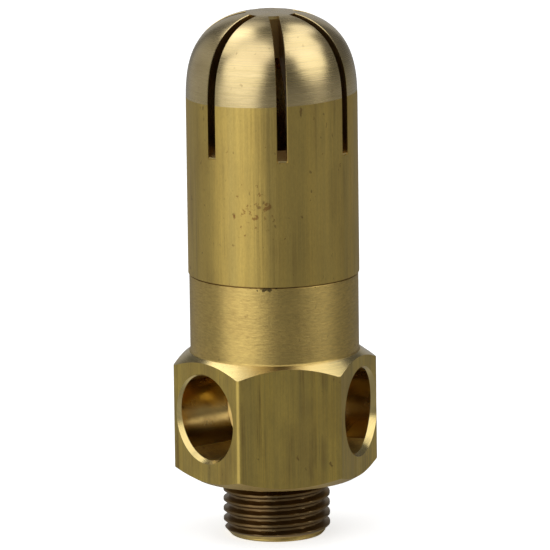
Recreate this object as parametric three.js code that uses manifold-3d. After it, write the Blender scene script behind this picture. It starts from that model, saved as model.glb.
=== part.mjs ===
// Atmospheric gas jet burner, all brass: a hexagonal body that screws onto a gas pipe and draws air
// through three side windows, a slotted domed head on its neck, and a gas injector inside.
// Millimetres and degrees, +Z up. The origin is the centre of the threaded spigot's end face.
// An angle of 0 points along -Y and turns towards +X.

import * as THREE from 'three';
import { mergeVertices } from 'three/addons/utils/BufferGeometryUtils.js';
import Module from 'manifold-3d';

const wasm = await Module();
wasm.setup();

// Facets around a large and a small round feature, and around the slitting saw.
const bigFacets = 64;
const smallFacets = 32;
const sawFacets = 72;
// How far a cutting shape runs past the surface that it cuts.
const overshoot = 1;

// Gas inlet: a G 1/8 parallel pipe thread on a short spigot.
const threadMajorRadius = 9.57 / 2;
const threadMinorRadius = 8.57 / 2;
const threadPitch = 0.907;
const threadTurns = 5;
const threadFlatHalf = threadPitch * 0.14;
const spigotLength = 5.4;
const spigotEndChamfer = 0.6;
const gasWayRadius = 2.1;
const gasWayMouthChamfer = 0.3;

// Hexagon with its corners turned off at both ends, a little steeper at the top.
const hexAcrossFlats = 16;
const hexCornerRounding = 0.3;
const hexBottom = spigotLength;
const hexTop = 16.9;
const hexBottomLandRadius = 7.42;
const hexTopLandRadius = 7.5;
const hexBottomChamferAngle = 30;
const hexTopChamferAngle = 36;
// Recess around the thread's root, so that a sealing ring lies flat on the shoulder.
const shoulderRecessRadius = 5;
const shoulderRecessDepth = 0.2;

// Three air windows, drilled through every other face of the hexagon. One of them sits 2 degrees off
// the middle of its face.
const windowRadius = 3.85;
const windowHeight = 11.6;
const windowAngles = [-60, 62, 180];
const windowCountersink = 0.2;
// The drill stops just short of the axis, inside the mixing chamber.
const windowDrillStop = 0.1;
const drillPointAngle = 59;

// Collar above the hexagon, with a fillet at its foot, and the neck that carries the head.
const collarRadius = 7.55;
const collarFillet = 0.25;
const collarFilletSteps = 3;
const seamHeight = 23.8;
const neckRadius = 6.5;
const neckLength = 5;
const neckChamfer = 0.4;

// Inside the body: a mixing chamber behind the windows, widening into the mixing tube above them.
const chamberRadius = 3.7;
const chamberFloor = 7;
const chamberTop = 15.5;
const mixingRadius = 4.75;
const mixingStart = 17.5;

// Head: a tube closed by a dome, whose profile is a superellipse cut flat at the top.
const headRadius = 7.64;
const headBoreRadius = neckRadius + 0.05;
const domeStart = 39;
const domeHeight = 8.45;
const domeWidthPower = 2.45;
const domeHeightPower = 2.9;
const domeFlatRadius = 2.25;
const domeSteps = 12;
const headBoreEnd = 41;

// Flame slots: seven cuts made by one slitting saw, from the edge of the flat top
// down to a point on the cylinder.
const slotCount = 7;
const slotWidth = 0.9;
const slotLowerEnd = 35.15;
const slotFirstAngle = -2;
const sawRadius = 12.9;
const sawCentreRadius = 15;
const sawCentreHeight = slotLowerEnd + Math.sqrt(sawRadius ** 2 - (sawCentreRadius - headRadius) ** 2);

// Gas injector: a threaded shank, a small hexagon and a conical nose with the jet in it.
const washerThickness = 0.4;
const washerOuterRadius = 3.5;
const injectorShankRadius = 2.5;
const injectorShankLength = 4;
const injectorHexAcrossFlats = 5.5;
const injectorHexHeight = 1.8;
const injectorNoseRadius = 2.2;
const injectorTipRadius = 1.3;
const injectorNoseHeight = 1.4;
const injectorBoreRadius = 1.4;
const jetRadius = 0.5;
const jetLength = 1.2;
const injectorClearance = 0.05;
const injectorEndChamfer = 0.3;
const injectorTapAllowance = 0.6;
const injectorCornerRounding = 0.1;
const injectorShankInHead = 0.5;

const radians = THREE.MathUtils.degToRad;

// Turns a closed geometry into a solid for joining and cutting.
function toSolid(geometry) {
  const bare = geometry.clone();
  bare.deleteAttribute('normal');
  bare.deleteAttribute('uv');
  const merged = mergeVertices(bare, 1e-5);
  const corners = Array.from(merged.index.array);
  const kept = [];
  for (let i = 0; i < corners.length; i += 3) {
    const [a, b, c] = corners.slice(i, i + 3);
    if (a !== b && b !== c && c !== a) kept.push(a, b, c);
  }
  return new wasm.Manifold(new wasm.Mesh({
    numProp: 3,
    vertProperties: new Float32Array(merged.attributes.position.array),
    triVerts: new Uint32Array(kept),
  }));
}

// Turns a finished solid into a named mesh with its own material.
function toMesh(name, solid, color, roughness) {
  const { vertProperties, triVerts } = solid.getMesh();
  const geometry = new THREE.BufferGeometry();
  geometry.setAttribute('position', new THREE.BufferAttribute(vertProperties, 3));
  geometry.setIndex(new THREE.BufferAttribute(triVerts, 1));
  geometry.computeVertexNormals();
  const mesh = new THREE.Mesh(geometry, new THREE.MeshStandardMaterial({ color, roughness, metalness: 1 }));
  mesh.name = name;
  return mesh;
}

// A solid of revolution about Z. The outline lists [radius, height] from the bottom of the axis to its top.
function turned(outline, facets) {
  const points = outline.map(([radius, height]) => new THREE.Vector2(radius, height));
  return new THREE.LatheGeometry(points, facets).rotateX(Math.PI / 2);
}

// A hexagonal prism with rounded corners and two faces square to Y.
function hexPrism(acrossFlats, bottom, top, rounding) {
  const cornerSteps = 3;
  const centreRadius = (acrossFlats / 2 - rounding) / Math.cos(Math.PI / 6);
  const shape = new THREE.Shape();
  for (let corner = 0; corner < 6; corner += 1) {
    const middle = corner * Math.PI / 3;
    for (let step = 0; step <= cornerSteps; step += 1) {
      const angle = middle + (step / cornerSteps - 0.5) * Math.PI / 3;
      const x = centreRadius * Math.cos(middle) + rounding * Math.cos(angle);
      const y = centreRadius * Math.sin(middle) + rounding * Math.sin(angle);
      if (corner === 0 && step === 0) shape.moveTo(x, y);
      else shape.lineTo(x, y);
    }
  }
  const geometry = new THREE.ExtrudeGeometry(shape, { depth: top - bottom, bevelEnabled: false });
  return geometry.translate(0, 0, bottom);
}

// The spigot's outline: an end chamfer, then one crest and one root for every turn of thread.
function threadOutline() {
  const firstRoot = spigotEndChamfer - threadFlatHalf;
  const outline = [[0, 0], [threadMajorRadius - spigotEndChamfer, 0]];
  for (let turn = 0; turn < threadTurns; turn += 1) {
    const root = firstRoot + turn * threadPitch;
    const crest = root + threadPitch / 2;
    outline.push([threadMinorRadius, root], [threadMinorRadius, root + threadFlatHalf]);
    outline.push([threadMajorRadius, crest - threadFlatHalf], [threadMajorRadius, crest + threadFlatHalf]);
  }
  const lastRoot = firstRoot + threadTurns * threadPitch - threadFlatHalf;
  outline.push([threadMinorRadius, lastRoot]);
  return outline;
}

// Everything turned on the body's bar: spigot, collar and neck, still without its bores.
function bodyBar() {
  const insideHex = hexBottom + overshoot;
  const neckTop = seamHeight + neckLength;
  return turned([
    ...threadOutline(),
    [threadMinorRadius, insideHex],
    [collarRadius, insideHex],
    [collarRadius, seamHeight],
    [neckRadius, seamHeight],
    [neckRadius, neckTop - neckChamfer],
    [neckRadius - neckChamfer, neckTop],
    [0, neckTop],
  ], bigFacets);
}

// The fillet from the hexagon's top chamfer up to the collar.
function filletOutline(slope) {
  const centreRadius = collarRadius + collarFillet;
  const chamferHeight = hexTop - (centreRadius - hexTopLandRadius) * slope;
  const centreHeight = chamferHeight + collarFillet * Math.hypot(1, slope);
  const outline = [];
  for (let step = 0; step <= collarFilletSteps; step += 1) {
    const angle = radians(90 - hexTopChamferAngle) * (1 - step / collarFilletSteps);
    const radius = centreRadius - collarFillet * Math.cos(angle);
    outline.push([radius, centreHeight - collarFillet * Math.sin(angle)]);
  }
  return outline;
}

// The hexagon, with both ends turned to a chamfer.
function bodyHex() {
  const bottomSlope = Math.tan(radians(hexBottomChamferAngle));
  const topSlope = Math.tan(radians(hexTopChamferAngle));
  const reach = hexAcrossFlats;
  const fillet = filletOutline(topSlope);
  const chamfered = turned([
    [0, hexBottom + shoulderRecessDepth],
    [shoulderRecessRadius, hexBottom + shoulderRecessDepth],
    [shoulderRecessRadius, hexBottom],
    [hexBottomLandRadius, hexBottom],
    [reach, hexBottom + (reach - hexBottomLandRadius) * bottomSlope],
    [reach, hexTop - (reach - hexTopLandRadius) * topSlope],
    ...fillet,
    [0, fillet.at(-1)[1]],
  ], bigFacets);
  const prism = hexPrism(hexAcrossFlats, hexBottom - overshoot, hexTop + overshoot, hexCornerRounding);
  return toSolid(prism).intersect(toSolid(chamfered));
}

// The gas way, the injector's threaded hole and the mixing chamber, all on the axis.
function bodyBore() {
  const tapped = injectorShankRadius + injectorClearance;
  const tappedEnd = chamberFloor + washerThickness - injectorShankLength - injectorTapAllowance;
  return turned([
    [0, -overshoot],
    [gasWayRadius + gasWayMouthChamfer + overshoot, -overshoot],
    [gasWayRadius, gasWayMouthChamfer],
    [gasWayRadius, tappedEnd],
    [tapped, tappedEnd],
    [tapped, chamberFloor],
    [chamberRadius, chamberFloor],
    [chamberRadius, chamberTop],
    [mixingRadius, mixingStart],
    [mixingRadius, seamHeight + neckLength + overshoot],
    [0, seamHeight + neckLength + overshoot],
  ], smallFacets);
}

// One air window: a drilled hole with its pointed end inwards, and a broken edge at the hexagon's face.
function airWindow(angle) {
  const face = hexAcrossFlats / 2;
  const drill = turned([
    [0, windowDrillStop],
    [windowRadius, windowDrillStop + windowRadius / Math.tan(radians(drillPointAngle))],
    [windowRadius, face - windowCountersink],
    [windowRadius + windowCountersink + overshoot, face + overshoot],
    [0, face + overshoot],
  ], smallFacets);
  drill.rotateX(Math.PI / 2).rotateZ(radians(angle)).translate(0, 0, windowHeight);
  return toSolid(drill);
}

function burnerBody() {
  let solid = toSolid(bodyBar()).add(bodyHex()).subtract(toSolid(bodyBore()));
  for (const angle of windowAngles) solid = solid.subtract(airWindow(angle));
  return toMesh('burner_body', solid, 0xa08a4c, 0.38);
}

// Outside of the head: cylinder, dome and flat top.
function headOutline() {
  const outline = [[0, seamHeight], [headRadius, seamHeight], [headRadius, domeStart]];
  const flatAngle = Math.acos((domeFlatRadius / headRadius) ** (domeWidthPower / 2));
  for (let step = 1; step <= domeSteps; step += 1) {
    const angle = flatAngle * step / domeSteps;
    const radius = headRadius * Math.cos(angle) ** (2 / domeWidthPower);
    const height = domeStart + domeHeight * Math.sin(angle) ** (2 / domeHeightPower);
    outline.push([radius, height]);
  }
  outline.push([0, outline.at(-1)[1]]);
  return outline;
}

// One flame slot, as the slitting saw's disc.
function flameSlot(angle) {
  const disc = new THREE.CylinderGeometry(sawRadius, sawRadius, slotWidth, sawFacets);
  disc.rotateZ(Math.PI / 2).translate(0, -sawCentreRadius, sawCentreHeight).rotateZ(radians(angle));
  return toSolid(disc);
}

function burnerHead() {
  const drillPoint = headBoreEnd + headBoreRadius / Math.tan(radians(drillPointAngle));
  const bore = turned([
    [0, seamHeight - overshoot],
    [headBoreRadius, seamHeight - overshoot],
    [headBoreRadius, headBoreEnd],
    [0, drillPoint],
  ], bigFacets);
  let solid = toSolid(turned(headOutline(), bigFacets)).subtract(toSolid(bore));
  for (let slot = 0; slot < slotCount; slot += 1) {
    solid = solid.subtract(flameSlot(slotFirstAngle + slot * 360 / slotCount));
  }
  return toMesh('burner_head', solid, 0xb39a52, 0.34);
}

function gasInjector() {
  const seat = chamberFloor + washerThickness;
  const hexEnd = seat + injectorHexHeight;
  const tip = hexEnd + injectorNoseHeight;
  const hexagon = hexPrism(injectorHexAcrossFlats, seat, hexEnd, injectorCornerRounding);
  const bar = turned([
    [0, seat - injectorShankLength],
    [injectorShankRadius - injectorEndChamfer, seat - injectorShankLength],
    [injectorShankRadius, seat - injectorShankLength + injectorEndChamfer],
    [injectorShankRadius, seat + injectorShankInHead],
    [injectorNoseRadius, seat + injectorShankInHead],
    [injectorNoseRadius, hexEnd],
    [injectorTipRadius, tip],
    [0, tip],
  ], smallFacets);
  const gasWay = turned([
    [0, 0],
    [injectorBoreRadius, 0],
    [injectorBoreRadius, tip - jetLength - injectorBoreRadius + jetRadius],
    [jetRadius, tip - jetLength],
    [jetRadius, tip + overshoot],
    [0, tip + overshoot],
  ], smallFacets);
  const solid = toSolid(bar).add(toSolid(hexagon)).subtract(toSolid(gasWay));
  return toMesh('gas_injector', solid, 0xc2a65c, 0.3);
}

// Soft copper ring that seals the injector on the chamber floor.
function injectorWasher() {
  const hole = injectorShankRadius + injectorClearance;
  const ring = turned([
    [hole, chamberFloor],
    [washerOuterRadius, chamberFloor],
    [washerOuterRadius, chamberFloor + washerThickness],
    [hole, chamberFloor + washerThickness],
    [hole, chamberFloor],
  ], smallFacets);
  return toMesh('injector_washer', toSolid(ring), 0xb4703f, 0.4);
}

const burner = new THREE.Group();
burner.add(burnerBody(), burnerHead(), gasInjector(), injectorWasher());

export default burner;
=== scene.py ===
"""Looks for the brass gas jet burner: turned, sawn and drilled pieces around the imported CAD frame.

Metres, +Z up, in the CAD's own frame: the origin is the centre of the gas spigot's end face.
An angle of 0 points along -Y and turns towards +X.
"""

import math

import bmesh
import bpy
import numpy as np
from mathutils import Matrix, Vector


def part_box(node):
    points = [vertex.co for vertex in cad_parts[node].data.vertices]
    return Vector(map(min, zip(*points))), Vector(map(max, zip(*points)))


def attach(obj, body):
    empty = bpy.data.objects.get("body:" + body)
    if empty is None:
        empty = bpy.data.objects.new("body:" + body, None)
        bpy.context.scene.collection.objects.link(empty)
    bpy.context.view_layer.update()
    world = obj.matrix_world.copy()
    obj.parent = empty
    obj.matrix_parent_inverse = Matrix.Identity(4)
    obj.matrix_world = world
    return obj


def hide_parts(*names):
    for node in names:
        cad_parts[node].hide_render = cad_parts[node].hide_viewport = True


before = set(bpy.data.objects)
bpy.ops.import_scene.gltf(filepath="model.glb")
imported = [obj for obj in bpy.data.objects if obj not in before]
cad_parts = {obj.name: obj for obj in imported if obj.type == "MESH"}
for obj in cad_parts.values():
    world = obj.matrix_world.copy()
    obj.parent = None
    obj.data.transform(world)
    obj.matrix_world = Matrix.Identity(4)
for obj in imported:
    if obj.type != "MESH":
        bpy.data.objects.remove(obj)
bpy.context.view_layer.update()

MM = 0.001

# Fineness: facets around a turned piece, around a small hole, and around the slitting saw.
TURNED_FACETS = 256
HOLE_FACETS = 128
SAW_FACETS = 384
FILLET_STEPS = 4
CORNER_STEPS = 6
THREAD_ROWS = 20
OVERSHOOT = 1 * MM

# Sizes that the frame gives.
BODY_LOW, BODY_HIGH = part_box("burner_body")
HEAD_LOW, HEAD_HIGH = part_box("burner_head")
WASHER_LOW, WASHER_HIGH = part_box("injector_washer")
INJECTOR_LOW, INJECTOR_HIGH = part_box("gas_injector")
HEX_FLATS = BODY_HIGH.y - BODY_LOW.y
SEAM = HEAD_LOW.z
HEAD_RADIUS = HEAD_HIGH.x
BURNER_TOP = HEAD_HIGH.z
NECK_TOP = BODY_HIGH.z
CHAMBER_FLOOR = WASHER_LOW.z
INJECTOR_SEAT = WASHER_HIGH.z

# Gas spigot with a G 1/8 thread.
THREAD_MAJOR = 4.78 * MM
THREAD_MINOR = 4.25 * MM
THREAD_PITCH = 0.907 * MM
THREAD_END = 4.95 * MM
SPIGOT_LENGTH = 5.4 * MM
SPIGOT_END_RADIUS = 4.25 * MM
SPIGOT_CHAMFER = 0.6 * MM
SPIGOT_END_ROUND = 0.12 * MM
GAS_WAY = 2.1 * MM

# Hexagon and its air windows.
HEX_TOP = 16.9 * MM
HEX_TOP_LAND = 7.5 * MM
HEX_BOTTOM_LAND = 7.42 * MM
HEX_BOTTOM_CHAMFER = math.radians(30)
HEX_TOP_CHAMFER = math.radians(36)
HEX_CORNER = 0.48 * MM
RECESS_RADIUS = 5 * MM
RECESS_DEPTH = 0.2 * MM
WINDOW_RADIUS = 3.85 * MM
WINDOW_HEIGHT = 11.6 * MM
WINDOW_ANGLES = (-60, 62, 180)
WINDOW_LIP = 0.2 * MM
LIP_SHIFT_OUT = 0.12 * MM
LIP_SHIFT_DOWN = 0.13 * MM
WINDOW_DRILL_STOP = 0.1 * MM
DRILL_POINT = math.radians(59)

# Collar and neck, and the bore inside them.
COLLAR_RADIUS = 7.55 * MM
COLLAR_FILLET = 0.25 * MM
NECK_RADIUS = 6.5 * MM
CHAMBER_RADIUS = 3.7 * MM
CHAMBER_TOP = 15.5 * MM
MIXING_RADIUS = 4.75 * MM
MIXING_START = 17.5 * MM
INJECTOR_HOLE = 2.55 * MM

# Injector: an M5 thread, a small hexagon and a conical nose with the jet.
INJECTOR_MAJOR = 2.5 * MM
INJECTOR_MINOR = 2.15 * MM
INJECTOR_PITCH = 0.8 * MM
INJECTOR_FLATS = 5.5 * MM
INJECTOR_WAY = 1.4 * MM
JET_RADIUS = 0.5 * MM

# Head: a superellipse dome on a cylinder, with a drilled bore and seven saw cuts.
HEAD_BORE = 6.55 * MM
HEAD_BORE_END = 41 * MM
DOME_START = 39 * MM
DOME_HEIGHT = 8.45 * MM
DOME_WIDTH_POWER = 2.45
DOME_HEIGHT_POWER = 2.9
DOME_FLAT = 2.25 * MM
DOME_STEPS = 56
SEAM_DEPTH = 0.3 * MM
SEAM_GAP = 0.1 * MM
SLOT_COUNT = 7
SLOT_WIDTH = 0.9 * MM
SLOT_LOW = 35.15 * MM
SLOT_FIRST = -2
SLOT_LIP = 0.06 * MM
SAW_RADIUS = 12.9 * MM
SAW_AXIS_RADIUS = 15 * MM
SAW_AXIS_HEIGHT = SLOT_LOW + math.sqrt(SAW_RADIUS**2 - (SAW_AXIS_RADIUS - HEAD_RADIUS) ** 2)


# ---------------------------------------------------------------- solids

def mesh_object(name, vertices, faces):
    """A mesh object from vertices and faces, with its faces turned outwards."""
    mesh = bpy.data.meshes.new(name)
    mesh.from_pydata(vertices, [], faces)
    made = bmesh.new()
    made.from_mesh(mesh)
    bmesh.ops.recalc_face_normals(made, faces=made.faces)
    made.to_mesh(mesh)
    made.free()
    piece = bpy.data.objects.new(name, mesh)
    bpy.context.scene.collection.objects.link(piece)
    return piece


def filleted(outline):
    """Points with round corners, from corners that are (radius, height) or (radius, height, fillet)."""
    points = []
    last = len(outline) - 1
    for i, corner in enumerate(outline):
        here = Vector(corner[:2])
        size = corner[2] if len(corner) > 2 else 0
        if size == 0 or i in (0, last):
            points.append(tuple(here))
            continue
        back = (Vector(outline[i - 1][:2]) - here).normalized()
        ahead = (Vector(outline[i + 1][:2]) - here).normalized()
        reach = size / math.tan(back.angle(ahead) / 2)
        start, end = here + back * reach, here + ahead * reach
        for step in range(FILLET_STEPS + 1):
            t = step / FILLET_STEPS
            points.append(tuple(start.lerp(here, t).lerp(here.lerp(end, t), t)))
    return points


def turned(name, outline, facets=TURNED_FACETS):
    """A closed solid of revolution about Z. Its outline ends on the axis twice, or closes on itself."""
    points = filleted(outline)
    closed = points[0] == points[-1]
    if closed:
        points = points[:-1]
    vertices, rings = [], []
    for radius, height in points:
        if radius < 1e-9:
            rings.append([len(vertices)] * facets)
            vertices.append((0, 0, height))
            continue
        rings.append(list(range(len(vertices), len(vertices) + facets)))
        for i in range(facets):
            angle = 2 * math.pi * i / facets
            vertices.append((radius * math.cos(angle), radius * math.sin(angle), height))
    faces = []
    spans = len(rings) if closed else len(rings) - 1
    for k in range(spans):
        low, high = rings[k], rings[(k + 1) % len(rings)]
        for i in range(facets):
            j = (i + 1) % facets
            corners = [low[i], low[j], high[j], high[i]]
            face = [c for n, c in enumerate(corners) if c != corners[n - 1]]
            if len(face) > 2:
                faces.append(face)
    return mesh_object(name, vertices, faces)


def threaded_rod(name, low, high, radius_at, pitch):
    """A closed rod with a helical thread. radius_at takes the height and the thread's phase."""
    facets = TURNED_FACETS
    rows = round((high - low) / pitch * THREAD_ROWS)
    vertices = []
    for row in range(rows + 1):
        height = low + (high - low) * row / rows
        for i in range(facets):
            turn = i / facets
            radius = radius_at(height, (height / pitch - turn) % 1)
            angle = 2 * math.pi * turn
            vertices.append((radius * math.cos(angle), radius * math.sin(angle), height))
    faces = [list(range(facets)), list(range(rows * facets, (rows + 1) * facets))]
    for row in range(rows):
        for i in range(facets):
            j = (i + 1) % facets
            low_row, high_row = row * facets, (row + 1) * facets
            faces.append([low_row + i, low_row + j, high_row + j, high_row + i])
    return mesh_object(name, vertices, faces)


def hexagon(name, flats, low, high, rounding):
    """A hexagonal bar with rounded corners and two faces square to Y."""
    steps = CORNER_STEPS
    centre = (flats / 2 - rounding) / math.cos(math.pi / 6)
    ring = []
    for corner in range(6):
        middle = corner * math.pi / 3
        for step in range(steps + 1):
            angle = middle + (step / steps - 0.5) * math.pi / 3
            x = centre * math.cos(middle) + rounding * math.cos(angle)
            y = centre * math.sin(middle) + rounding * math.sin(angle)
            ring.append((x, y))
    count = len(ring)
    vertices = [(x, y, low) for x, y in ring] + [(x, y, high) for x, y in ring]
    faces = [list(range(count)), list(range(count, 2 * count))]
    for i in range(count):
        j = (i + 1) % count
        faces.append([i, j, count + j, count + i])
    return mesh_object(name, vertices, faces)


def combine(piece, other, operation):
    """Joins, cuts or intersects piece with other, and removes other."""
    step = piece.modifiers.new(operation, "BOOLEAN")
    step.operation = operation
    step.solver = "MANIFOLD"
    step.object = other
    depsgraph = bpy.context.evaluated_depsgraph_get()
    result = bpy.data.meshes.new_from_object(piece.evaluated_get(depsgraph))
    piece.modifiers.clear()
    piece.data = result
    bpy.data.objects.remove(other)


# ---------------------------------------------------------------- the body

def thread_wave(phase):
    """A thread's depth from 0 in its root to 1 on its crest, with both a little flattened."""
    return min(max(0.5 + 0.62 * math.cos(2 * math.pi * phase), 0), 1)


def thread_radius(height, phase):
    """The spigot's radius: a round-crested thread that fades into the end chamfer and the run-out."""
    runout = min(max((THREAD_END - height) / (0.5 * THREAD_PITCH), 0), 1)
    radius = THREAD_MINOR + (THREAD_MAJOR - THREAD_MINOR) * thread_wave(phase) * runout
    slope = (THREAD_MAJOR - SPIGOT_END_RADIUS) / SPIGOT_CHAMFER
    chamfer = SPIGOT_END_RADIUS + (height - SPIGOT_END_ROUND) * slope
    end_flat = SPIGOT_END_RADIUS - SPIGOT_END_ROUND
    end_round = end_flat + math.sqrt(max(0, 2 * SPIGOT_END_ROUND * height))
    return min(radius, max(chamfer, end_flat), max(end_round, chamfer))


def body_bar():
    """Collar and neck, from inside the hexagon upwards."""
    return turned("burner_body_brass", [
        (0, SPIGOT_LENGTH + 1.5 * MM),
        (COLLAR_RADIUS, SPIGOT_LENGTH + 1.5 * MM),
        (COLLAR_RADIUS, SEAM, 0.07 * MM),
        (NECK_RADIUS, SEAM),
        (NECK_RADIUS, NECK_TOP, 0.3 * MM),
        (0, NECK_TOP),
    ])


def body_hexagon():
    """The hexagon with both ends turned to a chamfer, and the shallow recess around the thread."""
    bottom_slope, top_slope = math.tan(HEX_BOTTOM_CHAMFER), math.tan(HEX_TOP_CHAMFER)
    reach = HEX_FLATS
    collar_foot = HEX_TOP - (COLLAR_RADIUS - HEX_TOP_LAND) * top_slope
    blank = turned("hexagon_turning", [
        (0, SPIGOT_LENGTH + RECESS_DEPTH),
        (RECESS_RADIUS, SPIGOT_LENGTH + RECESS_DEPTH),
        (RECESS_RADIUS, SPIGOT_LENGTH),
        (HEX_BOTTOM_LAND, SPIGOT_LENGTH, 0.1 * MM),
        (reach, SPIGOT_LENGTH + (reach - HEX_BOTTOM_LAND) * bottom_slope),
        (reach, HEX_TOP - (reach - HEX_TOP_LAND) * top_slope),
        (COLLAR_RADIUS, collar_foot, COLLAR_FILLET),
        (COLLAR_RADIUS, collar_foot + COLLAR_FILLET),
        (0, collar_foot + COLLAR_FILLET),
    ])
    bar = hexagon("hexagon_bar", HEX_FLATS, SPIGOT_LENGTH - OVERSHOOT, HEX_TOP + OVERSHOOT, HEX_CORNER)
    combine(blank, bar, "INTERSECT")
    return blank


def body_bore():
    """Gas way, injector hole, chamber and mixing tube, as one cutting shape."""
    tapped_end = INJECTOR_LOW.z - 0.6 * MM
    return turned("body_bore", [
        (0, -OVERSHOOT),
        (GAS_WAY + 0.3 * MM + OVERSHOOT, -OVERSHOOT),
        (GAS_WAY, 0.3 * MM),
        (GAS_WAY, tapped_end),
        (INJECTOR_HOLE, tapped_end + 0.2 * MM),
        (INJECTOR_HOLE, CHAMBER_FLOOR),
        (CHAMBER_RADIUS, CHAMBER_FLOOR, 0.3 * MM),
        (CHAMBER_RADIUS, CHAMBER_TOP),
        (MIXING_RADIUS, MIXING_START),
        (MIXING_RADIUS, NECK_TOP - 0.25 * MM),
        (MIXING_RADIUS + 0.25 * MM + OVERSHOOT, NECK_TOP + OVERSHOOT),
        (0, NECK_TOP + OVERSHOOT),
    ], HOLE_FACETS)


def air_window(angle):
    """One window's drill, and the countersink that breaks its edge, widest on the outer lower side."""
    face = HEX_FLATS / 2
    drill = turned("window_drill", [
        (0, WINDOW_DRILL_STOP),
        (WINDOW_RADIUS, WINDOW_DRILL_STOP + WINDOW_RADIUS / math.tan(DRILL_POINT)),
        (WINDOW_RADIUS, face + OVERSHOOT),
        (0, face + OVERSHOOT),
    ], HOLE_FACETS)
    countersink = turned("window_countersink", [
        (0, face - WINDOW_LIP - WINDOW_RADIUS),
        (WINDOW_RADIUS + WINDOW_LIP + OVERSHOOT, face + OVERSHOOT),
        (0, face + OVERSHOOT),
    ], HOLE_FACETS)
    sideways = math.copysign(LIP_SHIFT_OUT, angle) if abs(angle) < 180 else 0
    countersink.data.transform(Matrix.Translation((sideways, -LIP_SHIFT_DOWN, 0)))
    place = Matrix.Translation((0, 0, WINDOW_HEIGHT))
    place @= Matrix.Rotation(math.radians(angle), 4, "Z")
    place @= Matrix.Rotation(math.pi / 2, 4, "X")
    for cutter in (drill, countersink):
        cutter.data.transform(place)
    return drill, countersink


def make_body():
    body = body_bar()
    combine(body, body_hexagon(), "UNION")
    spigot = threaded_rod("spigot", 0, SPIGOT_LENGTH + 1 * MM, thread_radius, THREAD_PITCH)
    combine(body, spigot, "UNION")
    combine(body, body_bore(), "DIFFERENCE")
    for angle in WINDOW_ANGLES:
        for cutter in air_window(angle):
            combine(body, cutter, "DIFFERENCE")
    return body


# ---------------------------------------------------------------- the head

def dome_point(angle):
    """Radius and height on the dome's superellipse."""
    radius = HEAD_RADIUS * math.cos(angle) ** (2 / DOME_WIDTH_POWER)
    height = DOME_START + DOME_HEIGHT * math.sin(angle) ** (2 / DOME_HEIGHT_POWER)
    return radius, height


def head_outside():
    """Points of the head's outside from the slots' lower end to the edge of the flat top."""
    flat_angle = math.acos((DOME_FLAT / HEAD_RADIUS) ** (DOME_WIDTH_POWER / 2))
    dome = [dome_point(flat_angle * step / DOME_STEPS) for step in range(1, DOME_STEPS + 1)]
    return [(HEAD_RADIUS, DOME_START)] + dome


def flame_slot(angle):
    """The slitting saw's disc."""
    disc = turned("saw", [
        (0, -SLOT_WIDTH / 2),
        (SAW_RADIUS, -SLOT_WIDTH / 2),
        (SAW_RADIUS, SLOT_WIDTH / 2),
        (0, SLOT_WIDTH / 2),
    ], SAW_FACETS)
    place = Matrix.Rotation(math.radians(angle), 4, "Z")
    place @= Matrix.Translation((0, -SAW_AXIS_RADIUS, SAW_AXIS_HEIGHT))
    place @= Matrix.Rotation(math.pi / 2, 4, "Y")
    disc.data.transform(place)
    return disc


def slot_lip(angle):
    """A V along the outside of one slot, which breaks both of its edges."""
    outside = [(HEAD_RADIUS, SLOT_LOW - SLOT_LIP)] + head_outside()
    proud = 0.1 * MM
    sections = []
    for i, (radius, height) in enumerate(outside):
        before = Vector(outside[max(i - 1, 0)])
        after = Vector(outside[min(i + 1, len(outside) - 1)])
        along = (after - before).normalized()
        out = Vector((along.y, -along.x))
        top = Vector((radius, height)) + out * proud
        bottom = Vector((radius, height)) - out * SLOT_LIP * 2
        wide = SLOT_WIDTH / 2 + SLOT_LIP + proud
        narrow = SLOT_WIDTH / 2 - SLOT_LIP
        sections.append([(-wide, top), (wide, top), (narrow, bottom), (-narrow, bottom)])
    vertices = [(x, -p.x, p.y) for section in sections for x, p in section]
    faces = [[0, 1, 2, 3], [len(vertices) - 4 + k for k in range(4)]]
    for s in range(len(sections) - 1):
        for k in range(4):
            m = (k + 1) % 4
            faces.append([4 * s + k, 4 * s + m, 4 * s + 4 + m, 4 * s + 4 + k])
    lip = mesh_object("slot_lip", vertices, faces)
    lip.data.transform(Matrix.Rotation(math.radians(angle), 4, "Z"))
    return lip


def make_head():
    head = turned("burner_head_brass", [
        (0, SEAM),
        (HEAD_RADIUS - SEAM_DEPTH, SEAM),
        (HEAD_RADIUS - SEAM_DEPTH, SEAM + SEAM_GAP),
        (HEAD_RADIUS, SEAM + SEAM_GAP, 0.05 * MM),
        *head_outside(),
        (0, head_outside()[-1][1]),
    ])
    bore = turned("head_bore", [
        (0, SEAM - OVERSHOOT),
        (HEAD_BORE + 0.15 * MM + OVERSHOOT, SEAM - OVERSHOOT),
        (HEAD_BORE, SEAM + 0.15 * MM),
        (HEAD_BORE, HEAD_BORE_END),
        (0, HEAD_BORE_END + HEAD_BORE / math.tan(DRILL_POINT)),
    ])
    combine(head, bore, "DIFFERENCE")
    for slot in range(SLOT_COUNT):
        angle = SLOT_FIRST + slot * 360 / SLOT_COUNT
        combine(head, flame_slot(angle), "DIFFERENCE")
        combine(head, slot_lip(angle), "DIFFERENCE")
    return head


# ---------------------------------------------------------------- the injector and its washer

def injector_thread(height, phase):
    """The injector shank's radius: an M5 thread with an end chamfer and an undercut below the head."""
    major, minor = INJECTOR_MAJOR, INJECTOR_MINOR
    radius = minor + (major - minor) * thread_wave(phase)
    if height > INJECTOR_SEAT - 0.35 * MM:
        return minor
    return min(radius, minor + (height - INJECTOR_LOW.z))


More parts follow.
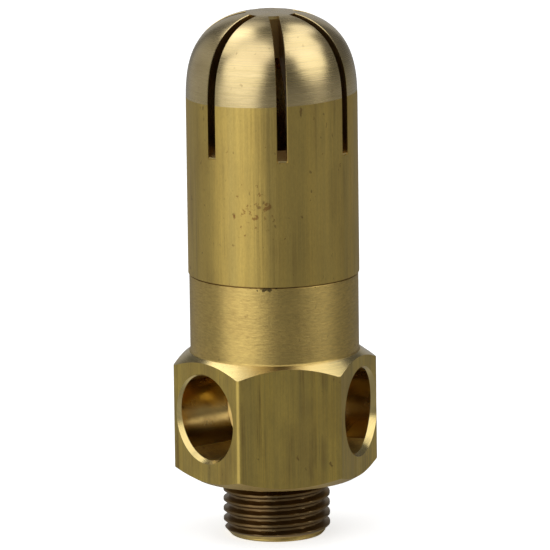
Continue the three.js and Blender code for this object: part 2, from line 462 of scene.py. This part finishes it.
def make_injector():
    hex_end = INJECTOR_SEAT + 1.8 * MM
    tip = INJECTOR_HIGH.z
    thread_top = INJECTOR_SEAT + 0.5 * MM
    injector = threaded_rod(
        "gas_injector_brass", INJECTOR_LOW.z, thread_top, injector_thread, INJECTOR_PITCH,
    )
    blank = turned("injector_turning", [
        (0, INJECTOR_SEAT),
        (2.75 * MM, INJECTOR_SEAT, 0.1 * MM),
        (3.2 * MM, INJECTOR_SEAT + 0.25 * MM),
        (3.2 * MM, hex_end - 0.35 * MM),
        (2.6 * MM, hex_end, 0.1 * MM),
        (2.2 * MM, hex_end, 0.1 * MM),
        (1.3 * MM, tip, 0.1 * MM),
        (0, tip),
    ], HOLE_FACETS)
    bar = hexagon("injector_bar", INJECTOR_FLATS, INJECTOR_SEAT - OVERSHOOT, tip + OVERSHOOT, 0.1 * MM)
    combine(blank, bar, "INTERSECT")
    combine(injector, blank, "UNION")
    gas_way = turned("injector_gas_way", [
        (0, 0),
        (INJECTOR_WAY, 0),
        (INJECTOR_WAY, tip - 2.1 * MM),
        (JET_RADIUS, tip - 1.2 * MM),
        (JET_RADIUS, tip - 0.1 * MM),
        (JET_RADIUS + OVERSHOOT, tip + OVERSHOOT),
        (0, tip + OVERSHOOT),
    ], HOLE_FACETS)
    combine(injector, gas_way, "DIFFERENCE")
    return injector


def make_washer():
    outer = WASHER_HIGH.x
    return turned("injector_washer_copper", [
        (INJECTOR_HOLE, WASHER_LOW.z),
        (outer, WASHER_LOW.z, 0.08 * MM),
        (outer, WASHER_HIGH.z, 0.08 * MM),
        (INJECTOR_HOLE, WASHER_HIGH.z),
        (INJECTOR_HOLE, WASHER_LOW.z),
    ], HOLE_FACETS)


# ---------------------------------------------------------------- surfaces

SHARP_ANGLE = math.radians(24)
FINISH_EDGE = 40.1 * MM
DOME_SMOOTH = 43.35 * MM
FINISH_TILT = 0.03
# Depths and heights that tell one finish's faces from another's.
FACE_SKIN = 0.07 * MM
LIP_REACH = 0.65 * MM
WINDOWS_END = 16.2 * MM
DARK_THREAD_START = 0.55 * MM
# The order of the finishes on a piece. The dark one is the thread or the sawn slots.
DRAWN, TURNED, DARK, BORED, BRIGHT = range(5)


def face_table(piece):
    """Face centres and normals of a piece, as arrays, in metres."""
    count = len(piece.data.polygons)
    centres, normals = np.zeros(count * 3), np.zeros(count * 3)
    piece.data.polygons.foreach_get("center", centres)
    piece.data.polygons.foreach_get("normal", normals)
    return centres.reshape(-1, 3), normals.reshape(-1, 3)


def dress(piece, materials, choice, flat=()):
    """Gives each face the material that choice numbers. The materials in flat are left unsmoothed."""
    mesh = piece.data
    mesh.materials.clear()
    for material in materials:
        mesh.materials.append(material)
    mesh.polygons.foreach_set("material_index", choice.astype(np.int32))
    mesh.shade_smooth()
    mesh.set_sharp_from_angle(angle=SHARP_ANGLE)
    mesh.polygons.foreach_set("use_smooth", ~np.isin(choice, flat))
    mesh.update()


def split(piece, point, normal):
    """Cuts the faces along a plane, so that a finish can end there."""
    made = bmesh.new()
    made.from_mesh(piece.data)
    parts = made.verts[:] + made.edges[:] + made.faces[:]
    bmesh.ops.bisect_plane(made, geom=parts, plane_co=point, plane_no=normal)
    made.to_mesh(piece.data)
    made.free()


def outwardness(centres, normals):
    """Distance of each face from the axis, and how far its normal points away from the axis."""
    x, y, _ = centres.T
    radius = np.hypot(x, y)
    return radius, (x * normals[:, 0] + y * normals[:, 1]) / np.maximum(radius, 1e-9)


def face_tilt(normals):
    """Angle in degrees between each face and the nearest of the windows' axes."""
    axes = [(math.sin(math.radians(a)), -math.cos(math.radians(a))) for a in WINDOW_ANGLES]
    along = np.max([normals[:, 0] * x + normals[:, 1] * y for x, y in axes], axis=0)
    return np.degrees(np.arccos(along.clip(-1, 1)))


def dress_body(body, drawn, turned_finish, thread, bored, bright):
    """Drawn hexagon, turned collar, dark thread, bored insides, bright window lips and top chamfer."""
    centres, normals = face_table(body)
    x, y, z = centres.T
    radius, outward = outwardness(centres, normals)
    rise = normals[:, 2]
    directions = [math.radians(60 * k - 90) for k in range(6)]
    flat = np.max([x * math.cos(a) + y * math.sin(a) for a in directions], axis=0)
    depth = HEX_FLATS / 2 - flat
    on_hexagon = (depth < FACE_SKIN) & (np.abs(rise) < 0.25)
    on_thread = (radius < RECESS_RADIUS + 0.1 * MM) & (z < SPIGOT_LENGTH + 0.25 * MM)
    inside = (radius < MIXING_RADIUS + 0.02 * MM) & (outward < 0.2) & (z > 0.2 * MM)
    beside_windows = (z > CHAMBER_FLOOR) & (z < WINDOWS_END)
    window = (depth > FACE_SKIN) & beside_windows & (outward < 0.8)
    chamfer = np.abs(rise) > 0.8
    lip = window & (depth < LIP_REACH) & (np.abs(face_tilt(normals) - 45) < 12)
    hexagon_end = (radius > COLLAR_RADIUS + 0.12 * MM) & (z < HEX_TOP) & (rise > 0.7)
    choice = np.full(len(z), TURNED)
    # The thread above its end gets the dark finish. Its tone is partly oxide and partly painted shade
    # from under the hexagon.
    choice[on_thread & (z > DARK_THREAD_START)] = DARK
    choice[inside | (window & ~chamfer)] = BORED
    choice[lip | hexagon_end] = BRIGHT
    choice[on_hexagon] = DRAWN
    dress(body, [drawn, turned_finish, thread, bored, bright], choice, [BRIGHT])


def dress_head(head, drawn, turned_finish, sawn, bored, bright):
    """Drawn tube, turned dome, sawn slots, bored inside and bright slot lips."""
    split(head, (0, 0, FINISH_EDGE), (-FINISH_TILT, 0, 1))
    centres, normals = face_table(head)
    x, _, z = centres.T
    radius, outward = outwardness(centres, normals)
    rise = normals[:, 2]
    fullness = 1 - (radius / HEAD_RADIUS) ** DOME_WIDTH_POWER
    dome = DOME_START + DOME_HEIGHT * fullness.clip(0) ** (1 / DOME_HEIGHT_POWER)
    dome_depth = np.abs(z - dome)
    inset = HEAD_RADIUS - radius
    outer = (dome_depth < 0.08 * MM) | (inset < 0.1 * MM) | (z > BURNER_TOP - 0.02 * MM)
    outer &= (outward > 0.3) | (rise > 0.3)
    inside = (outward < -0.9) | (rise < -0.3)
    skin = (dome_depth < 0.25 * MM) | (inset < 0.14 * MM)
    lip = skin & (z > SLOT_LOW) & (outward > 0.3) & (np.abs(rise) < 0.98)
    above = z - FINISH_TILT * x > FINISH_EDGE
    choice = np.full(len(z), DARK)
    choice[lip] = BRIGHT
    choice[inside] = BORED
    choice[outer & ~above] = DRAWN
    choice[outer & above] = TURNED
    dress(head, [drawn, turned_finish, sawn, bored, bright], choice)


# ---------------------------------------------------------------- materials

class Finish:
    """A metal's node tree, built up one layer at a time."""

    def __init__(self, name, roughness, anisotropy=0.0, rotation=0.0, oil=0.0):
        self.material = bpy.data.materials.new(name)
        self.material.use_nodes = True
        self.tree = self.material.node_tree
        self.shader = self.tree.nodes["Principled BSDF"]
        self.shader.inputs["Metallic"].default_value = 1
        self.shader.inputs["Roughness"].default_value = roughness
        self.shader.inputs["Anisotropic"].default_value = anisotropy
        self.shader.inputs["Anisotropic Rotation"].default_value = rotation
        self.shader.inputs["Coat Weight"].default_value = oil
        self.shader.inputs["Coat Roughness"].default_value = 0.25
        if anisotropy:
            tangent = self.node("ShaderNodeTangent")
            tangent.direction_type = "RADIAL"
            tangent.axis = "Z"
            self.link(tangent.outputs["Tangent"], self.shader.inputs["Tangent"])
        place = self.node("ShaderNodeTexCoord")
        self.place = place.outputs["Object"]

    def node(self, kind):
        return self.tree.nodes.new(kind)

    def link(self, start, end):
        self.tree.links.new(start, end)

    def math(self, operation, first, second=0.0):
        node = self.node("ShaderNodeMath")
        node.operation = operation
        for socket, value in zip(node.inputs, (first, second)):
            if isinstance(value, (int, float)):
                socket.default_value = value
            else:
                self.link(value, socket)
        return node.outputs[0]

    def stretched(self, across, along):
        """Coordinates in cells per millimetre, across the bar and along it."""
        node = self.node("ShaderNodeVectorMath")
        node.operation = "MULTIPLY"
        self.link(self.place, node.inputs[0])
        node.inputs[1].default_value = (across / MM, across / MM, along / MM)
        return node.outputs[0]

    def ringed(self, around, along):
        """Coordinates in cells round the axis, and cells per millimetre along the profile."""
        parts = self.node("ShaderNodeSeparateXYZ")
        self.link(self.place, parts.inputs[0])
        x, y, z = parts.outputs
        squares = self.math("ADD", self.math("MULTIPLY", x, x), self.math("MULTIPLY", y, y))
        radius = self.math("SQRT", squares)
        safe = self.math("MAXIMUM", radius, 0.01 * MM)
        profile = self.math("MULTIPLY", self.math("SUBTRACT", z, radius), along / MM)
        joined = self.node("ShaderNodeCombineXYZ")
        self.link(self.math("MULTIPLY", self.math("DIVIDE", x, safe), around / 2), joined.inputs[0])
        self.link(self.math("MULTIPLY", self.math("DIVIDE", y, safe), around / 2), joined.inputs[1])
        self.link(profile, joined.inputs[2])
        return joined.outputs[0]

    def noise(self, place, detail=3.0, low=0.3, high=0.7, rough=0.5):
        """Noise between 0 and 1, with its range stretched from low to high."""
        node = self.node("ShaderNodeTexNoise")
        node.inputs["Scale"].default_value = 1
        node.inputs["Detail"].default_value = detail
        node.inputs["Roughness"].default_value = rough
        self.link(place, node.inputs["Vector"])
        spread = self.node("ShaderNodeMapRange")
        spread.inputs["From Min"].default_value = low
        spread.inputs["From Max"].default_value = high
        self.link(node.outputs["Fac"], spread.inputs["Value"])
        return spread.outputs[0]

    def closeness(self, point, reach):
        """1 at a point, fading to 0 at a distance of reach."""
        apart = self.node("ShaderNodeVectorMath")
        apart.operation = "DISTANCE"
        self.link(self.place, apart.inputs[0])
        apart.inputs[1].default_value = point
        fade = self.node("ShaderNodeMapRange")
        fade.interpolation_type = "SMOOTHSTEP"
        fade.inputs["From Min"].default_value = reach
        fade.inputs["From Max"].default_value = 0
        self.link(apart.outputs["Value"], fade.inputs["Value"])
        return fade.outputs[0]

    def flecks(self, cells, point, reach, gain):
        """Ragged flecks, some of them anywhere and more around a point."""
        noise = self.noise(self.stretched(cells, cells), 3, 0.0, 1.0, 0.6)
        crowded = self.math("ADD", noise, self.math("MULTIPLY", self.closeness(point, reach), gain))
        edge = self.math("MULTIPLY", self.math("SUBTRACT", crowded, 0.70), 18.0)
        return self.math("MINIMUM", self.math("MAXIMUM", edge, 0.0), 1.0)

    def above(self, height, blend):
        """0 below a height and 1 above it, blended over a distance."""
        parts = self.node("ShaderNodeSeparateXYZ")
        self.link(self.place, parts.inputs[0])
        step = self.node("ShaderNodeMapRange")
        step.interpolation_type = "SMOOTHSTEP"
        step.inputs["From Min"].default_value = height - blend / 2
        step.inputs["From Max"].default_value = height + blend / 2
        self.link(parts.outputs["Z"], step.inputs["Value"])
        return step.outputs[0]

    def layer(self, colour, over, amount, strength=1.0):
        """Mixes the colour over into colour by amount times strength."""
        node = self.node("ShaderNodeMix")
        node.data_type = "RGBA"
        factor = self.math("MULTIPLY", amount, strength)
        self.link(factor, node.inputs["Factor"])
        for socket, value in ((node.inputs[6], colour), (node.inputs[7], over)):
            if isinstance(value, tuple):
                socket.default_value = (*value, 1)
            else:
                self.link(value, socket)
        return node.outputs[2]

    def finish(self, colour, bump=None, depth=0.0, roughness=None):
        """Connects the colour, and the optional bump in metres and roughness."""
        self.link(colour, self.shader.inputs["Base Color"])
        if roughness is not None:
            self.link(roughness, self.shader.inputs["Roughness"])
        if bump is not None:
            node = self.node("ShaderNodeBump")
            node.inputs["Strength"].default_value = 1
            node.inputs["Distance"].default_value = depth
            self.link(bump, node.inputs["Height"])
            self.link(node.outputs["Normal"], self.shader.inputs["Normal"])
        return self.material

    def spread(self, amount, low, high):
        """Maps 0 to 1 onto low to high."""
        return self.math("ADD", self.math("MULTIPLY", amount, high - low), low)


# How much longer a highlight is along the grain.
DRAWN_ANISOTROPY = 0.45
TURNED_ANISOTROPY = 0.5

GOLD = (0.82, 0.59, 0.16)
OLIVE = (0.60, 0.47, 0.16)
DULL = (0.42, 0.32, 0.11)
BROWN = (0.30, 0.17, 0.06)
RUST = (0.30, 0.115, 0.035)
UMBER = (0.14, 0.09, 0.025)
SOOT = (0.05, 0.035, 0.02)
PALE = (0.89, 0.70, 0.35)


def on_surface(radius, azimuth, height):
    """A point on a turned surface, from its radius, azimuth in degrees and height."""
    turn = math.radians(azimuth)
    return Vector((radius * math.sin(turn), -radius * math.cos(turn), height))


# Where the marks are thickest: rust on the tube and chips on the seam, which are marks of use, and a
# darker round patch on the front chamfer.
RUST_PLACE = on_surface(HEAD_RADIUS, -20, 30.5 * MM)
CHIP_PLACE = on_surface(COLLAR_RADIUS, -14, SEAM)
DARK_PATCH_PLACE = on_surface(COLLAR_RADIUS, -5, HEX_TOP)


def drawn_brass(name, tone, streaks=1.0, rust=None, grime=None):
    """Bar stock as drawn, with streaks along the bar and pits, and optional flecks of rust and grime."""
    finish = Finish(name, 0.36, DRAWN_ANISOTROPY)
    broad = finish.noise(finish.stretched(0.55, 0.012), 2, 0.35, 0.65)
    bands = finish.noise(finish.stretched(1.3, 0.025), 4, 0.42, 0.68, 0.6)
    fine = finish.noise(finish.stretched(5.5, 0.10), 4, 0.3, 0.7, 0.65)
    breaks = finish.noise(finish.stretched(0.6, 0.22), 3, 0.35, 0.7)
    patches = finish.noise(finish.stretched(0.28, 0.16), 3, 0.5, 0.8)
    pits = finish.noise(finish.stretched(1.7, 0.95), 2, 0.70, 0.76)
    scores = finish.noise(finish.stretched(2.3, 0.05), 4, 0.55, 0.70, 0.65)
    grain = finish.noise(finish.stretched(6.0, 2.5), 4, 0.35, 0.7, 0.75)
    colour = finish.layer(tone, OLIVE, broad, 0.5)
    colour = finish.layer(colour, DULL, finish.math("MULTIPLY", bands, breaks), 0.55 * streaks)
    colour = finish.layer(colour, DULL, fine, 0.25 * streaks)
    colour = finish.layer(colour, BROWN, finish.math("MULTIPLY", scores, breaks), 0.5 * streaks)
    colour = finish.layer(colour, BROWN, patches, 0.25 * streaks)
    colour = finish.layer(colour, BROWN, grain, 0.2)
    colour = finish.layer(colour, BROWN, pits, 0.7)
    if rust is not None:
        colour = finish.layer(colour, RUST, finish.flecks(1.5, rust, 4 * MM, 0.17), 0.65)
    if grime is not None:
        low, high = grime
        near = finish.math("SUBTRACT", 1.0, finish.above(low, high - low))
        colour = finish.layer(colour, BROWN, finish.math("MULTIPLY", near, breaks), 0.75)
    roughness = finish.spread(fine, 0.29, 0.43)
    relief = finish.math("ADD", fine, finish.math("MULTIPLY", bands, 2.0))
    return finish.finish(colour, relief, 0.005 * MM, roughness)


def turned_brass(name, tone, roughness=0.3, depth=0.004, oil=0.0, smooth_above=None, dashes=1.2,
                 mottle=0.0, chips=None, darkening=None):
    """Turned on a lathe: fine rings round the axis, shallower above a height where one is given.

    depth is in millimetres. dashes is how often a ring's tone changes in a turn, and mottle how
    blotchy it is. chips is the place of the chips, and the last argument is the middle of a darker round
    patch.
    """
    finish = Finish(name, roughness, TURNED_ANISOTROPY, 0.25, oil)
    rings = finish.noise(finish.ringed(dashes, 9.0), 4, 0.3, 0.7, 0.7)
    bands = finish.noise(finish.ringed(1.6, 0.7), 2, 0.35, 0.65)
    blotches = finish.noise(finish.stretched(0.35, 0.35), 3, 0.5, 0.8)
    specks = finish.noise(finish.stretched(2.2, 2.2), 2, 0.68, 0.76)
    grain = finish.noise(finish.stretched(1.6, 6.0), 4, 0.35, 0.7, 0.75)
    colour = finish.layer(tone, OLIVE, bands, 0.25)
    colour = finish.layer(colour, BROWN, rings, 0.08)
    colour = finish.layer(colour, BROWN, grain, mottle)
    colour = finish.layer(colour, BROWN, blotches, 0.18)
    colour = finish.layer(colour, BROWN, specks, 0.4)
    if chips is not None:
        at_seam = finish.above(SEAM - 0.3 * MM, 0.15 * MM)
        chipped = finish.flecks(2.2, chips, 1.8 * MM, 0.25)
        colour = finish.layer(colour, SOOT, finish.math("MULTIPLY", at_seam, chipped), 0.85)
    # A darker umber round patch around the given point.
    if darkening is not None:
        colour = finish.layer(colour, UMBER, finish.closeness(darkening, 2.6 * MM), 0.85)
    relief = finish.math("ADD", rings, finish.math("MULTIPLY", grain, 4 * mottle))
    if smooth_above is not None:
        rough_part = finish.math("SUBTRACT", 1.0, finish.above(smooth_above, 0.12 * MM))
        chatter = finish.noise(finish.ringed(9.0, 5.0), 3, 0.35, 0.75, 0.7)
        weight = finish.spread(rough_part, 0.3, 1.0)
        chattered = finish.math("MULTIPLY", chatter, rough_part)
        relief = finish.math("MULTIPLY", finish.math("ADD", relief, chattered), weight)
        colour = finish.layer(colour, DULL, chattered, 0.35)
    worn = finish.spread(rings, roughness - 0.05, roughness + 0.07)
    return finish.finish(colour, relief, depth * MM, worn)


def dark_brass(name, tone, roughness, darkening=0.55):
    """Brass with a brown bloom, as left inside bores and slots."""
    finish = Finish(name, roughness)
    streaks = finish.noise(finish.ringed(2.0, 5.0), 3)
    bloom = finish.noise(finish.stretched(0.5, 0.5), 3)
    colour = finish.layer(tone, BROWN, bloom, darkening)
    colour = finish.layer(colour, BROWN, streaks, 0.25)
    worn = finish.spread(bloom, roughness - 0.06, roughness + 0.1)
    return finish.finish(colour, streaks, 0.004 * MM, worn)


def washer_copper():
    finish = Finish("washer_copper", 0.42)
    bloom = finish.noise(finish.stretched(0.8, 0.8), 3)
    colour = finish.layer((0.78, 0.36, 0.20), (0.36, 0.13, 0.07), bloom, 0.6)
    return finish.finish(colour, bloom, 0.004 * MM)


# ---------------------------------------------------------------- camera, floor and light

CAMERA_AZIMUTH = -8.66
CAMERA_PITCH = 11.57
CAMERA_ROLL = -0.73
CAMERA_DISTANCE = 0.69
CAMERA_LENS = 506
AIM_HEIGHT = 23.5 * MM
AIM_RIGHT = 0.10 * MM


def direction(azimuth, elevation):
    """Unit vector at an azimuth to the right of the camera's side and an elevation, in degrees."""
    a, e = math.radians(azimuth + CAMERA_AZIMUTH), math.radians(elevation)
    return Vector((math.sin(a) * math.cos(e), -math.cos(a) * math.cos(e), math.sin(e)))


def make_camera():
    back = direction(0, CAMERA_PITCH)
    right = Vector((0, 0, 1)).cross(back).normalized()
    up = back.cross(right)
    turn = Matrix.Rotation(math.radians(CAMERA_ROLL), 4, back)
    axes = Matrix((turn @ right, turn @ up, back)).transposed().to_4x4()
    data = bpy.data.cameras.new("camera")
    data.lens = CAMERA_LENS
    data.sensor_width = 36
    data.clip_start = 0.01
    camera = bpy.data.objects.new("camera", data)
    aim = Vector((0, 0, AIM_HEIGHT)) + right * AIM_RIGHT
    camera.matrix_world = Matrix.Translation(aim + back * CAMERA_DISTANCE) @ axes
    bpy.context.scene.collection.objects.link(camera)
    bpy.context.scene.camera = camera


def make_floor():
    """A pale matt floor, a little brighter than its light alone would make it."""
    bpy.ops.mesh.primitive_grid_add(x_subdivisions=8, y_subdivisions=8, size=12)
    floor = bpy.context.object
    floor.name = "floor"
    material = bpy.data.materials.new("floor")
    material.use_nodes = True
    shader = material.node_tree.nodes["Principled BSDF"]
    shader.inputs["Base Color"].default_value = (0.85, 0.85, 0.85, 1)
    shader.inputs["Roughness"].default_value = 0.9
    shader.inputs["Specular IOR Level"].default_value = 0
    shader.inputs["Emission Color"].default_value = (1, 1, 1, 1)
    shader.inputs["Emission Strength"].default_value = 0.62
    floor.data.materials.append(material)
    floor.visible_glossy = False


# Soft boxes: azimuth and elevation of the middle, half-width of the even part, width of the faded
# edge, and brightness. Angles are in degrees.
SOFT_BOXES = (
    (-48, -12, 22, 16, 0.97),
    (-42, 21, 24, 12, 1.5),
    (-36, 52, 19, 11, 1.45),
    (-66, 78, 8, 8, 0.4),
    (-92, 47, 9, 8, 1.4),
    (-110, 65, 8, 7, 1.3),
    (-131, 55, 11, 6, 2.1),
    (-156, 50, 9, 8, 0.7),
    (66, 29, 17, 10, 1.65),
    (94, 47, 8, 8, 1.4),
    (62, 55, 15, 10, 1.5),
    (108, 63, 11, 7, 1.6),
    (147, 52, 6, 8, 1.5),
    (70, -14, 10, 16, 0.38),
    (-115, -5, 28, 22, 0.38),
    (180, 12, 14, 14, 0.4),
    (180, -78, 18, 30, 0.6),
)
# The table's glow below the horizon, and the dark room above it.
AMBIENT_LOW = 0.275
AMBIENT_HIGH = 0.11
AMBIENT_EDGE = math.radians(7)
BACKGROUND = 0.93


def make_light():
    world = bpy.data.worlds.new("studio")
    bpy.context.scene.world = world
    world.use_nodes = True
    tree = world.node_tree
    tree.nodes.clear()

    def node(kind, **settings):
        made = tree.nodes.new(kind)
        for key, value in settings.items():
            setattr(made, key, value)
        return made

    place = node("ShaderNodeTexCoord").outputs["Generated"]
    parts = node("ShaderNodeSeparateXYZ")
    tree.links.new(place, parts.inputs[0])
    horizon = node("ShaderNodeMapRange", interpolation_type="SMOOTHSTEP")
    horizon.inputs["From Min"].default_value = -AMBIENT_EDGE
    horizon.inputs["From Max"].default_value = AMBIENT_EDGE
    horizon.inputs["To Min"].default_value = AMBIENT_LOW
    horizon.inputs["To Max"].default_value = AMBIENT_HIGH
    tree.links.new(parts.outputs["Z"], horizon.inputs["Value"])
    total = horizon.outputs[0]
    for azimuth, elevation, even, fade, brightness in SOFT_BOXES:
        dot = node("ShaderNodeVectorMath", operation="DOT_PRODUCT")
        tree.links.new(place, dot.inputs[0])
        dot.inputs[1].default_value = direction(azimuth, elevation)
        edge = node("ShaderNodeMapRange", interpolation_type="SMOOTHSTEP")
        edge.inputs["From Min"].default_value = math.cos(math.radians(even + fade))
        edge.inputs["From Max"].default_value = math.cos(math.radians(even))
        edge.inputs["To Max"].default_value = brightness
        tree.links.new(dot.outputs["Value"], edge.inputs["Value"])
        brighter = node("ShaderNodeMath", operation="MAXIMUM")
        tree.links.new(total, brighter.inputs[0])
        tree.links.new(edge.outputs[0], brighter.inputs[1])
        total = brighter.outputs[0]
    reflected = node("ShaderNodeBackground")
    tree.links.new(total, reflected.inputs["Strength"])
    backdrop = node("ShaderNodeBackground")
    backdrop.inputs["Strength"].default_value = BACKGROUND
    path = node("ShaderNodeLightPath")
    either = node("ShaderNodeMixShader")
    tree.links.new(path.outputs["Is Camera Ray"], either.inputs[0])
    tree.links.new(reflected.outputs[0], either.inputs[1])
    tree.links.new(backdrop.outputs[0], either.inputs[2])
    output = node("ShaderNodeOutputWorld")
    tree.links.new(either.outputs[0], output.inputs[0])


# ---------------------------------------------------------------- the scene

def stands_for(piece, node, body):
    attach(piece, body)
    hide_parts(node)


def main():
    bpy.context.scene.view_settings.view_transform = "Standard"
    make_camera()
    make_floor()
    make_light()

    bored = dark_brass("bored_brass", (0.64, 0.45, 0.15), 0.2, 0.4)
    collar = turned_brass(
        "turned_collar_brass", (0.86, 0.63, 0.20), 0.36, 0.006, dashes=5.0,
        mottle=0.42, chips=CHIP_PLACE,
    )
    # The bright finish gets a darker round patch at the front of the top chamfer.
    bright = turned_brass(
        "bright_edge_brass", (0.90, 0.70, 0.28), 0.2, 0.003, 0.6, darkening=DARK_PATCH_PLACE,
    )

    body = make_body()
    hexagon_finish = drawn_brass("drawn_hexagon_brass", (0.97, 0.71, 0.165), 1.6)
    # The thread's very dark tone is partly oxide and partly painted shade, standing in for the shade
    # under the hexagon.
    thread = dark_brass("thread_oxide_and_painted_shade_brass", (0.23, 0.165, 0.08), 0.3, 0.4)
    dress_body(body, hexagon_finish, collar, thread, bored, bright)
    stands_for(body, "burner_body", "body")

    head = make_head()
    tube = drawn_brass("drawn_tube_brass", (0.87, 0.62, 0.16), 0.85, RUST_PLACE, (SEAM, SEAM + 0.4 * MM))
    dome = turned_brass("turned_dome_brass", PALE, 0.24, 0.0025, 0.7, DOME_SMOOTH)
    sawn = dark_brass("sawn_brass", (0.46, 0.32, 0.12), 0.34)
    dress_head(head, tube, dome, sawn, bored, bright)
    stands_for(head, "burner_head", "head")

    injector = make_injector()
    dress(injector, [turned_brass("injector_brass", GOLD)], np.zeros(len(injector.data.polygons)))
    stands_for(injector, "gas_injector", "injector")

    washer = make_washer()
    dress(washer, [washer_copper()], np.zeros(len(washer.data.polygons)))
    stands_for(washer, "injector_washer", "injector")


main()
